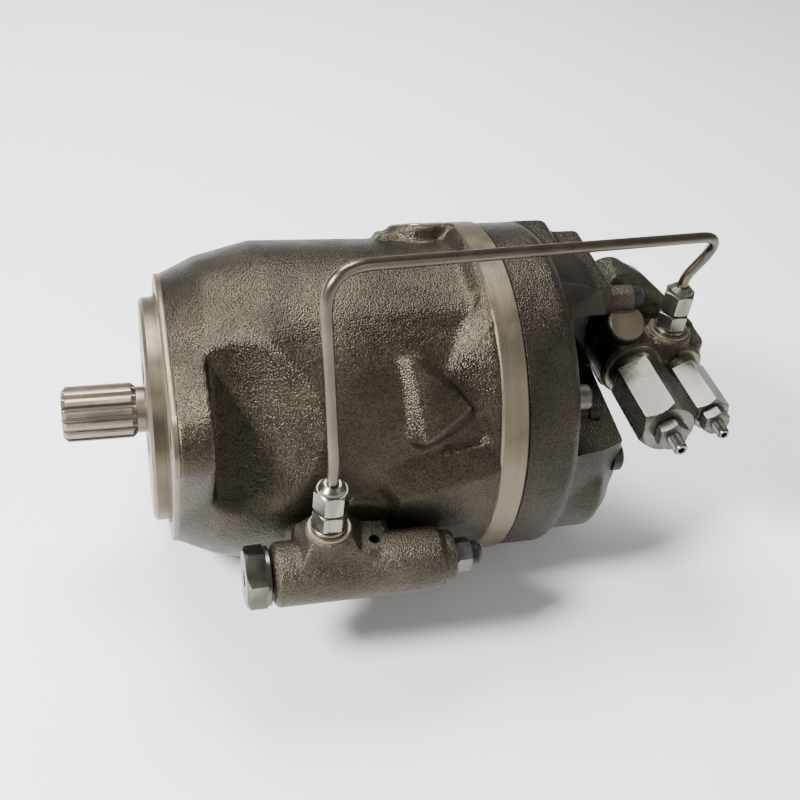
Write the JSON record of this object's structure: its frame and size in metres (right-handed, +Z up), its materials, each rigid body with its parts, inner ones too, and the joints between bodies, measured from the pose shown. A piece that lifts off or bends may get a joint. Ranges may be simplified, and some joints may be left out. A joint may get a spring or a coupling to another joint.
{
  "type": "axial piston pump",
  "caption": "Variable swash plate piston pump with a two-bolt flange, splined shaft, spool control valve, power valve and a bent steel pilot tube.",
  "frame": {"origin": "centre of the mounting flange's face, on the drive shaft's axis", "axes": "+X along the shaft from the flange towards the port plate, +Z up, -Y towards the flank that carries the power valve; the line through the two flange ears leans 30 degrees from Y"},
  "size_m": [0.37, 0.2265, 0.2541],
  "materials": {
    "case_cast_iron": "rough sand-cast surface under a thin preserving oil, with machined bands",
    "port_plate_cast_iron": "rough sand-cast surface with machined faces",
    "valve_cast_iron": "fine-grained casting with machined faces",
    "rubber_seal": "matt black",
    "black_trim": "black, slightly glossy",
    "dark_fastener": "blackened steel",
    "zinc_fittings": "zinc plated, turned and milled",
    "tube_steel": "drawn steel with a phosphate tint",
    "shaft_steel": "hobbed and ground",
    "bearing_bronze": "turned bronze",
    "hardened_steel": "ground"
  },
  "bodies": {
    "case": {"housing": "case_cast_iron", "port_plate": "port_plate_cast_iron", "housing_gasket": "rubber_seal", "shaft_seal": "rubber_seal", "seal_retaining_ring": "black_trim", "front_bearing_cup": "hardened_steel", "rear_bearing_cup": "hardened_steel", "cradle_bearing_near": "bearing_bronze", "cradle_bearing_far": "bearing_bronze", "valve_plate": "bearing_bronze", "drain_plug": "zinc_fittings", "control_valve_body": "valve_cast_iron", "flow_spring_cap": "zinc_fittings", "pressure_spring_cap": "zinc_fittings", "flow_lock_nut": "dark_fastener", "pressure_lock_nut": "dark_fastener", "lower_stud_fitting": "zinc_fittings", "upper_stud_fitting": "zinc_fittings", "lower_union_nut": "zinc_fittings", "upper_union_nut": "zinc_fittings", "pilot_tube": "tube_steel", "power_valve_body": "valve_cast_iron", "power_valve_plug": "zinc_fittings", "power_valve_end_cap": "black_trim", "return_spring": "hardened_steel"},
    "shaft": {"drive_shaft": "shaft_steel", "cylinder_barrel": "bearing_bronze", "retainer_ball": "hardened_steel", "front_bearing_cone": "hardened_steel", "rear_bearing_cone": "hardened_steel"},
    "swash": {"swash_plate": "hardened_steel"},
    "retainer": {"retainer_plate": "hardened_steel"},
    "stroking_piston": {"stroking_piston": "hardened_steel"},
    "counter_piston": {"counter_piston": "hardened_steel"},
    "slipper_1": {"slipper_1": "bearing_bronze"},
    "piston_1": {"piston_1": "hardened_steel"},
    "slipper_2": {"slipper_2": "bearing_bronze"},
    "piston_2": {"piston_2": "hardened_steel"},
    "slipper_3": {"slipper_3": "bearing_bronze"},
    "piston_3": {"piston_3": "hardened_steel"},
    "slipper_4": {"slipper_4": "bearing_bronze"},
    "piston_4": {"piston_4": "hardened_steel"},
    "slipper_5": {"slipper_5": "bearing_bronze"},
    "piston_5": {"piston_5": "hardened_steel"},
    "slipper_6": {"slipper_6": "bearing_bronze"},
    "piston_6": {"piston_6": "hardened_steel"},
    "slipper_7": {"slipper_7": "bearing_bronze"},
    "piston_7": {"piston_7": "hardened_steel"},
    "slipper_8": {"slipper_8": "bearing_bronze"},
    "piston_8": {"piston_8": "hardened_steel"},
    "slipper_9": {"slipper_9": "bearing_bronze"},
    "piston_9": {"piston_9": "hardened_steel"},
    "flow_spool": {"flow_spool": "hardened_steel"},
    "flow_spring_seat": {"flow_spring_seat": "hardened_steel"},
    "flow_adjusting_screw": {"flow_adjusting_screw": "dark_fastener"},
    "pressure_spool": {"pressure_spool": "hardened_steel"},
    "pressure_spring_seat": {"pressure_spring_seat": "hardened_steel"},
    "pressure_adjusting_screw": {"pressure_adjusting_screw": "dark_fastener"},
    "power_valve_spool": {"power_valve_spool": "hardened_steel"}
  },
  "joints": [
    {"name": "shaft_spin", "type": "hinge", "parent": "case", "child": "shaft", "pos_m": [0, 0, 0], "axis": [1, 0, 0], "continuous": true},
    {"name": "swash_tilt", "type": "hinge", "parent": "case", "child": "swash", "pos_m": [0.084, 0, 0], "axis": [0, 1, 0], "range_deg": [0, 14.5]},
    {"name": "retainer_spin", "type": "hinge", "parent": "swash", "child": "retainer", "pos_m": [0.084, 0, 0], "axis": [0.9659, 0, 0.2588], "continuous": true},
    {"name": "stroking_slide", "type": "slide", "parent": "case", "child": "stroking_piston", "axis": [1, 0, 0], "range_m": [-0.0185, 0]},
    {"name": "counter_slide", "type": "slide", "parent": "case", "child": "counter_piston", "axis": [1, 0, 0], "range_m": [0, 0.0185], "deforming": ["return_spring"]},
    {"name": "slipper_1_swivel", "type": "hinge", "parent": "retainer", "child": "slipper_1", "pos_m": [0.07452, 0, 0.03538], "axis": [0.9659, 0, 0.2588], "continuous": true},
    {"name": "piston_1_rock", "type": "hinge", "parent": "slipper_1", "child": "piston_1", "pos_m": [0.07452, 0, 0.03538], "axis": [0, 1, 0], "range_deg": [-15, 0.5]},
    {"name": "slipper_2_swivel", "type": "hinge", "parent": "retainer", "child": "slipper_2", "pos_m": [0.07674, 0.02354, 0.0271], "axis": [0.9659, 0, 0.2588], "continuous": true},
    {"name": "piston_2_rock", "type": "hinge", "parent": "slipper_2", "child": "piston_2", "pos_m": [0.07674, 0.02354, 0.0271], "axis": [0, 1, 0], "range_deg": [-15, 0.5]},
    {"name": "slipper_3_swivel", "type": "hinge", "parent": "retainer", "child": "slipper_3", "pos_m": [0.08235, 0.03607, 0.00614], "axis": [0.9659, 0, 0.2588], "continuous": true},
    {"name": "piston_3_rock", "type": "hinge", "parent": "slipper_3", "child": "piston_3", "pos_m": [0.08235, 0.03607, 0.00614], "axis": [0, 1, 0], "range_deg": [-15, 0.5]},
    {"name": "slipper_4_swivel", "type": "hinge", "parent": "retainer", "child": "slipper_4", "pos_m": [0.08874, 0.03172, -0.01769], "axis": [0.9659, 0, 0.2588], "continuous": true},
    {"name": "piston_4_rock", "type": "hinge", "parent": "slipper_4", "child": "piston_4", "pos_m": [0.08874, 0.03172, -0.01769], "axis": [0, 1, 0], "range_deg": [-15, 0.5]},
    {"name": "slipper_5_swivel", "type": "hinge", "parent": "retainer", "child": "slipper_5", "pos_m": [0.09291, 0.01253, -0.03324], "axis": [0.9659, 0, 0.2588], "continuous": true},
    {"name": "piston_5_rock", "type": "hinge", "parent": "slipper_5", "child": "piston_5", "pos_m": [0.09291, 0.01253, -0.03324], "axis": [0, 1, 0], "range_deg": [-15, 0.5]},
    {"name": "slipper_6_swivel", "type": "hinge", "parent": "retainer", "child": "slipper_6", "pos_m": [0.09291, -0.01253, -0.03324], "axis": [0.9659, 0, 0.2588], "continuous": true},
    {"name": "piston_6_rock", "type": "hinge", "parent": "slipper_6", "child": "piston_6", "pos_m": [0.09291, -0.01253, -0.03324], "axis": [0, 1, 0], "range_deg": [-15, 0.5]},
    {"name": "slipper_7_swivel", "type": "hinge", "parent": "retainer", "child": "slipper_7", "pos_m": [0.08874, -0.03172, -0.01769], "axis": [0.9659, 0, 0.2588], "continuous": true},
    {"name": "piston_7_rock", "type": "hinge", "parent": "slipper_7", "child": "piston_7", "pos_m": [0.08874, -0.03172, -0.01769], "axis": [0, 1, 0], "range_deg": [-15, 0.5]},
    {"name": "slipper_8_swivel", "type": "hinge", "parent": "retainer", "child": "slipper_8", "pos_m": [0.08235, -0.03607, 0.00614], "axis": [0.9659, 0, 0.2588], "continuous": true},
    {"name": "piston_8_rock", "type": "hinge", "parent": "slipper_8", "child": "piston_8", "pos_m": [0.08235, -0.03607, 0.00614], "axis": [0, 1, 0], "range_deg": [-15, 0.5]},
    {"name": "slipper_9_swivel", "type": "hinge", "parent": "retainer", "child": "slipper_9", "pos_m": [0.07674, -0.02354, 0.0271], "axis": [0.9659, 0, 0.2588], "continuous": true},
    {"name": "piston_9_rock", "type": "hinge", "parent": "slipper_9", "child": "piston_9", "pos_m": [0.07674, -0.02354, 0.0271], "axis": [0, 1, 0], "range_deg": [-15, 0.5]},
    {"name": "flow_spool_slide", "type": "slide", "parent": "case", "child": "flow_spool", "axis": [0, 1, 0], "range_m": [0, 0.004], "stiffness_N_per_m": 6000, "springref_m": -0.001},
    {"name": "flow_seat_slide", "type": "slide", "parent": "case", "child": "flow_spring_seat", "axis": [0, 1, 0], "range_m": [0, 0.0015]},
    {"name": "flow_screw_turn", "type": "hinge", "parent": "flow_spring_seat", "child": "flow_adjusting_screw", "pos_m": [0.27, -0.08, 0.026], "axis": [0, 1, 0], "range_deg": [0, 541]},
    {"name": "pressure_spool_slide", "type": "slide", "parent": "case", "child": "pressure_spool", "axis": [0, 1, 0], "range_m": [0, 0.004], "stiffness_N_per_m": 6000, "springref_m": -0.001},
    {"name": "pressure_seat_slide", "type": "slide", "parent": "case", "child": "pressure_spring_seat", "axis": [0, 1, 0], "range_m": [0, 0.0015]},
    {"name": "pressure_screw_turn", "type": "hinge", "parent": "pressure_spring_seat", "child": "pressure_adjusting_screw", "pos_m": [0.3, -0.08, 0.026], "axis": [0, 1, 0], "range_deg": [0, 541]},
    {"name": "power_spool_slide", "type": "slide", "parent": "case", "child": "power_valve_spool", "axis": [1, 0, 0], "range_m": [0, 0.004]}
  ],
  "couplings": [
    {"joint": "retainer_spin", "follows": "shaft_spin", "ratio": 1},
    {"joint": "stroking_slide", "follows": "swash_tilt", "m_per_rad": -0.0683},
    {"joint": "counter_slide", "follows": "swash_tilt", "m_per_rad": 0.0683},
    {"joint": "slipper_1_swivel", "follows": "shaft_spin", "ratio": -1},
    {"joint": "piston_1_rock", "follows": "swash_tilt", "ratio": -1},
    {"joint": "slipper_2_swivel", "follows": "shaft_spin", "ratio": -1},
    {"joint": "piston_2_rock", "follows": "swash_tilt", "ratio": -1},
    {"joint": "slipper_3_swivel", "follows": "shaft_spin", "ratio": -1},
    {"joint": "piston_3_rock", "follows": "swash_tilt", "ratio": -1},
    {"joint": "slipper_4_swivel", "follows": "shaft_spin", "ratio": -1},
    {"joint": "piston_4_rock", "follows": "swash_tilt", "ratio": -1},
    {"joint": "slipper_5_swivel", "follows": "shaft_spin", "ratio": -1},
    {"joint": "piston_5_rock", "follows": "swash_tilt", "ratio": -1},
    {"joint": "slipper_6_swivel", "follows": "shaft_spin", "ratio": -1},
    {"joint": "piston_6_rock", "follows": "swash_tilt", "ratio": -1},
    {"joint": "slipper_7_swivel", "follows": "shaft_spin", "ratio": -1},
    {"joint": "piston_7_rock", "follows": "swash_tilt", "ratio": -1},
    {"joint": "slipper_8_swivel", "follows": "shaft_spin", "ratio": -1},
    {"joint": "piston_8_rock", "follows": "swash_tilt", "ratio": -1},
    {"joint": "slipper_9_swivel", "follows": "shaft_spin", "ratio": -1},
    {"joint": "piston_9_rock", "follows": "swash_tilt", "ratio": -1},
    {"joint": "flow_screw_turn", "follows": "flow_seat_slide", "rad_per_m": 6283.2},
    {"joint": "pressure_screw_turn", "follows": "pressure_seat_slide", "rad_per_m": 6283.2}
  ]
}
